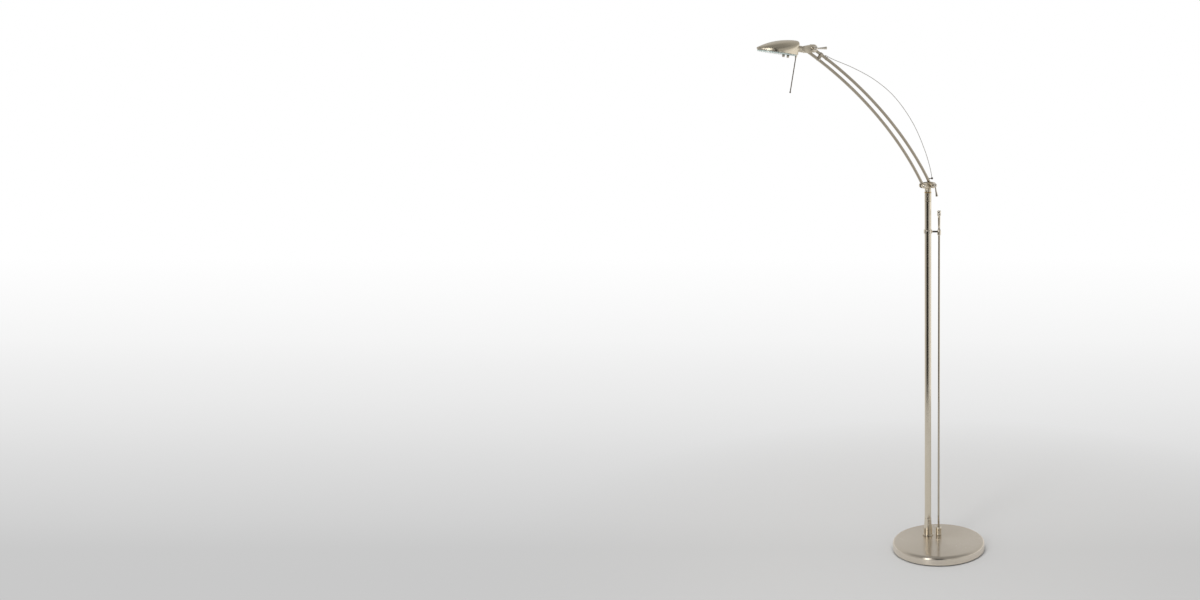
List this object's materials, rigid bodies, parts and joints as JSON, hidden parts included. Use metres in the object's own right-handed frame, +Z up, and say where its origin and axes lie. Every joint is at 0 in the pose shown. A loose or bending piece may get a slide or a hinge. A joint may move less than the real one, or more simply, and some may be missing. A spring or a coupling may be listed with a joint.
{
  "type": "pharmacy floor lamp",
  "caption": "Floor lamp with a weighted round base, tube stem, swivelling twin curved arm and a leaf-shaped metal head over a clear glass plate.",
  "frame": {"origin": "centre of the underside of the felt pad, on the floor", "axes": "+Z up the stem; the arm reaches towards -X at rest, and the levers and the dimmer rod are on the -Y side"},
  "size_m": [0.6414, 0.27, 1.4494],
  "materials": {
    "satin_nickel": "satin brushed nickel plate",
    "polished_nickel": "polished nickel plate",
    "brass": "satin brass",
    "cast_iron": "rough casting, painted black",
    "zinc_steel": "zinc plated",
    "dark_nickel": "dark plated wire",
    "black_plastic": "matt black",
    "felt": "dense felt",
    "ceramic": "glazed ceramic",
    "sheet_glass": "clear float glass with a green edge",
    "bulb_glass": "clear quartz"
  },
  "bodies": {
    "stand": {"base_cover": "satin_nickel", "base_weight": "cast_iron", "base_plate": "zinc_steel", "felt_pad": "felt", "plate_screw_1": "zinc_steel", "plate_screw_2": "zinc_steel", "plate_screw_3": "zinc_steel", "cord_grommet": "black_plastic", "stem_nipple": "zinc_steel", "nipple_nut": "brass", "dimmer_module": "black_plastic", "stem_foot": "satin_nickel", "stem_tube": "satin_nickel", "swivel_socket": "satin_nickel", "swivel_washer": "brass", "dimmer_bracket": "satin_nickel", "bracket_screw": "zinc_steel", "dimmer_socket": "satin_nickel"},
    "dimmer": {"dimmer_rod": "satin_nickel", "dimmer_grip": "satin_nickel", "dimmer_cap": "polished_nickel"},
    "yoke": {"yoke": "satin_nickel", "yoke_spindle": "zinc_steel", "spindle_nut": "brass", "main_pin": "zinc_steel", "follower_pin": "zinc_steel", "follower_pin_cap": "polished_nickel"},
    "lower_lever": {"lower_lever_hub": "polished_nickel", "lower_lever_handle": "polished_nickel"},
    "main_arm": {"main_rod": "satin_nickel", "guide_fork": "satin_nickel", "bow_wire": "dark_nickel", "wire_ball": "dark_nickel", "wire_stub": "dark_nickel"},
    "follower_arm": {"follower_rod": "satin_nickel"},
    "knuckle": {"knuckle": "satin_nickel", "knee_pin": "zinc_steel", "knee_follower_pin": "zinc_steel", "knuckle_cover": "polished_nickel"},
    "upper_lever": {"upper_lever_hub": "polished_nickel", "upper_lever_handle": "polished_nickel"},
    "head": {"shade": "satin_nickel", "lower_housing": "satin_nickel", "glass_plate": "sheet_glass", "head_bridge": "zinc_steel", "near_stud": "zinc_steel", "far_stud": "zinc_steel", "near_glass_nut": "polished_nickel", "far_glass_nut": "polished_nickel", "lamp_holder": "ceramic", "halogen_bulb": "bulb_glass", "reflector": "polished_nickel", "neck_sleeve": "satin_nickel", "neck_flange": "polished_nickel", "wand_ferrule": "polished_nickel", "aiming_wand": "dark_nickel", "wand_tip": "dark_nickel"}
  },
  "joints": [
    {"name": "dimmer_turn", "type": "hinge", "parent": "stand", "child": "dimmer", "pos_m": [0.0188, 0.0325, 0.9], "axis": [0, 0, 1], "range_deg": [0, 270]},
    {"name": "arm_swivel", "type": "hinge", "parent": "stand", "child": "yoke", "pos_m": [-0.008, 0.048, 1.0329], "axis": [0, 0, 1], "range_deg": [-170, 170]},
    {"name": "lower_lever_turn", "type": "hinge", "parent": "yoke", "child": "lower_lever", "pos_m": [-0.0004, 0.022, 1.0529], "axis": [0, 1, 0], "range_deg": [-60, 60]},
    {"name": "arm_tilt", "type": "hinge", "parent": "yoke", "child": "main_arm", "pos_m": [-0.0004, 0.048, 1.0529], "axis": [0, 1, 0], "range_deg": [-10, 26]},
    {"name": "follower_tilt", "type": "hinge", "parent": "yoke", "child": "follower_arm", "pos_m": [-0.0241, 0.048, 1.0514], "axis": [0, 1, 0], "range_deg": [-10, 26]},
    {"name": "knuckle_level", "type": "hinge", "parent": "main_arm", "child": "knuckle", "pos_m": [-0.3526, 0.048, 1.4275], "axis": [0, 1, 0], "range_deg": [-26, 10]},
    {"name": "upper_lever_turn", "type": "hinge", "parent": "knuckle", "child": "upper_lever", "pos_m": [-0.3526, 0.03, 1.4275], "axis": [0, 1, 0], "range_deg": [-45, 45]},
    {"name": "head_roll", "type": "hinge", "parent": "knuckle", "child": "head", "pos_m": [-0.3966, 0.048, 1.4277], "axis": [-0.9895, 0, 0.1444], "range_deg": [-90, 90]}
  ],
  "couplings": [
    {"joint": "follower_tilt", "follows": "arm_tilt", "ratio": 1},
    {"joint": "knuckle_level", "follows": "arm_tilt", "ratio": -1}
  ]
}
